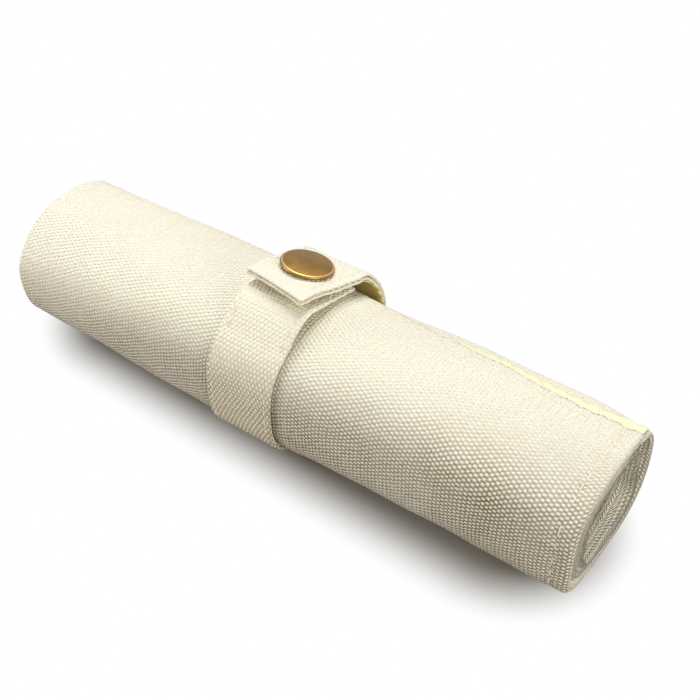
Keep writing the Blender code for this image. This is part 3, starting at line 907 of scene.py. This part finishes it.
def hem_row(x, first, last):
    """Round the roll at X, between two turns in degrees."""
    paths = []
    turn = first
    while turn < last:
        step = (roll_point(x, turn + 1.5, 0) - roll_point(x, turn, 0)).length
        reach = HEM_PITCH / (step / 1.5)
        paths.append(one_stitch(lambda at, depth: roll_point(x, at, depth), turn, reach))
        turn += reach
    return paths


def edge_row(behind, first, last):
    """Along the roll, some degrees behind the free edge, between two places in X."""
    paths = []
    x = first
    while x < last:
        paths.append(one_stitch(lambda at, depth: roll_point(at, free_edge(at) + behind, depth),
                                x, EDGE_PITCH))
        x += EDGE_PITCH
    return paths


def strap_row(across, first, last):
    """Along the strap's outer face, between two places on its line."""
    paths = []
    index = first
    reach = STRAP_PITCH / strap_spacing
    while index + reach * STITCH_SHOWS < last:
        paths.append(one_stitch(
            lambda at, depth: strap_place(at, across, STRAP_STACK - depth), index, reach))
        index += reach
    return paths


hem_paths = []
for x in (HEM_ROW_IN - HALF_LENGTH, HALF_LENGTH - HEM_ROW_IN):
    hem_paths += hem_row(x, free_edge(x) + 6, free_edge(x) + 352)
hem_paths += edge_row(EDGE_ROW_BEHIND, 0.006 - HALF_LENGTH, HALF_LENGTH - 0.007)
hem_stitches = stitches("hem_stitches", hem_paths, cotton_thread)
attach(hem_stitches, "roll")
band_paths, tab_paths = [], []
for across in (STRAP_ROW_IN - STRAP_WIDTH / 2, STRAP_WIDTH / 2 - STRAP_ROW_IN):
    band_paths += strap_row(across, 6, split - 1)
    tab_paths += strap_row(across, split + 1, last - 2)
band_stitches = stitches("band_stitches", band_paths, cotton_thread)
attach(band_stitches, "roll")
tab_stitches = stitches("tab_stitches", tab_paths, cotton_thread)
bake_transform(tab_stitches)

# Floor: a matt surface, seen plain white away from the case. Near the roll it shows its own
# dark warm grey, fading out from a line under the roll: painted shadow, on which the lamps'
# own shadow also falls.
SHADOW_LEFT = -0.065
SHADOW_RIGHT = 0.067
SHADOW_TURNED = 0.04
SHADOW_WHOLE = 0.0163
SHADOW_GONE = 0.0355
floor_mesh = bpy.data.meshes.new("floor")
floor_mesh.from_pydata([(-3, -3, 0), (3, -3, 0), (3, 3, 0), (-3, 3, 0)], [], [(0, 1, 2, 3)])
floor_plane = bpy.data.objects.new("floor", floor_mesh)
bpy.context.collection.objects.link(floor_plane)
white = Finish("white floor with painted shadow", 1.0)
# Dark warm grey, shown only near the roll: painted shadow
white.put("Base Color", (0.32, 0.30, 0.265, 1))
white.put("Specular IOR Level", 0.0)


def seen_ray(nodes):
    """1 for what is seen straight, in a reflection or through glass, and 0 for lighting."""
    straight, mirrored, through = (nodes.node("ShaderNodeLightPath", {}, {}, f"Is {ray} Ray")
                                   for ray in ("Camera", "Glossy", "Transmission"))
    return straight.work("MAXIMUM", mirrored).work("MAXIMUM", through)


spot = white.node("ShaderNodeVectorRotate", {"rotation_type": "Z_AXIS"},
                  {0: white.solid_place(), "Angle": SHADOW_TURNED})
under_roll = white.node("ShaderNodeVectorMath", {"operation": "MAXIMUM"},
                        {0: spot, 1: (SHADOW_LEFT, 0, 0)})
under_roll = white.node("ShaderNodeVectorMath", {"operation": "MINIMUM"},
                        {0: under_roll, 1: (SHADOW_RIGHT, 0, 0)})
away = white.node("ShaderNodeVectorMath", {"operation": "DISTANCE"}, {0: spot, 1: under_roll}, 1)
# Painted shadow: the dark grey shows near the line and gives way to white further off
clear = white.level(away, SHADOW_WHOLE, SHADOW_GONE)
glow = white.node("ShaderNodeEmission", {}, {"Color": (1, 1, 1, 1), "Strength": 1.0})
painted_shadow_grey = Reading(white, white.shader.outputs[0])
both = white.node("ShaderNodeMixShader", {}, {0: seen_ray(white) * clear, 1: painted_shadow_grey, 2: glow})
ends = white.tree.nodes["Material Output"]
white.tree.links.new(both.socket, ends.inputs["Surface"])
floor_mesh.materials.append(white.material)

# Light: an even white room, a touch warm where it falls on the cloth, and three soft lamps:
# the main one high over the back, and weaker ones off the left front and off the right end.
ROOM_TONE = (1, 0.975, 0.925)
ROOM_STRENGTH = 0.36
FILL_TONE = (1, 0.98, 0.94)
world = bpy.data.worlds.new("room")
bpy.context.scene.world = world
world.use_nodes = True
room = Nodes(world.node_tree, "Background")
plain = seen_ray(room)
room.put("Color", room.mix(plain, ROOM_TONE, (1, 1, 1)))
room.put("Strength", plain * (1 - ROOM_STRENGTH) + ROOM_STRENGTH)


def soft_lamp(name, place, size, watts, colour):
    """A round soft light that faces the roll."""
    lamp = bpy.data.lights.new(name, "AREA")
    lamp.shape = "DISK"
    lamp.size = size
    lamp.energy = watts
    lamp.color = colour
    holder = bpy.data.objects.new(name, lamp)
    holder.location = place
    aim = Vector((0, 0, 0.02)) - Vector(place)
    holder.rotation_euler = aim.to_track_quat("-Z", "Y").to_euler()
    bpy.context.collection.objects.link(holder)


soft_lamp("overhead_softbox", (-0.12, 0.28, 0.65), 0.5, 3.85, (1, 1, 1))
soft_lamp("left_fill", (-0.46, -0.34, 0.15), 0.4, 1.9, FILL_TONE)
soft_lamp("end_fill", (0.52, -0.14, 0.20), 0.3, 1.5, FILL_TONE)

# Camera: where the photograph was taken from, with a lens and a place that were worked out
# from the outlines of both ends.
lens = bpy.data.cameras.new("camera")
lens.sensor_width = 36
lens.lens = 59.66
lens.clip_start = 0.01
camera = bpy.data.objects.new("camera", lens)
camera.location = (0.14787, -0.18802, 0.23461)
aim = Vector((-0.4333, 0.6075, -0.6657))
camera.rotation_euler = aim.to_track_quat("-Z", "Y").to_euler()
bpy.context.collection.objects.link(camera)
bpy.context.scene.camera = camera
bpy.context.scene.view_settings.view_transform = "Standard"
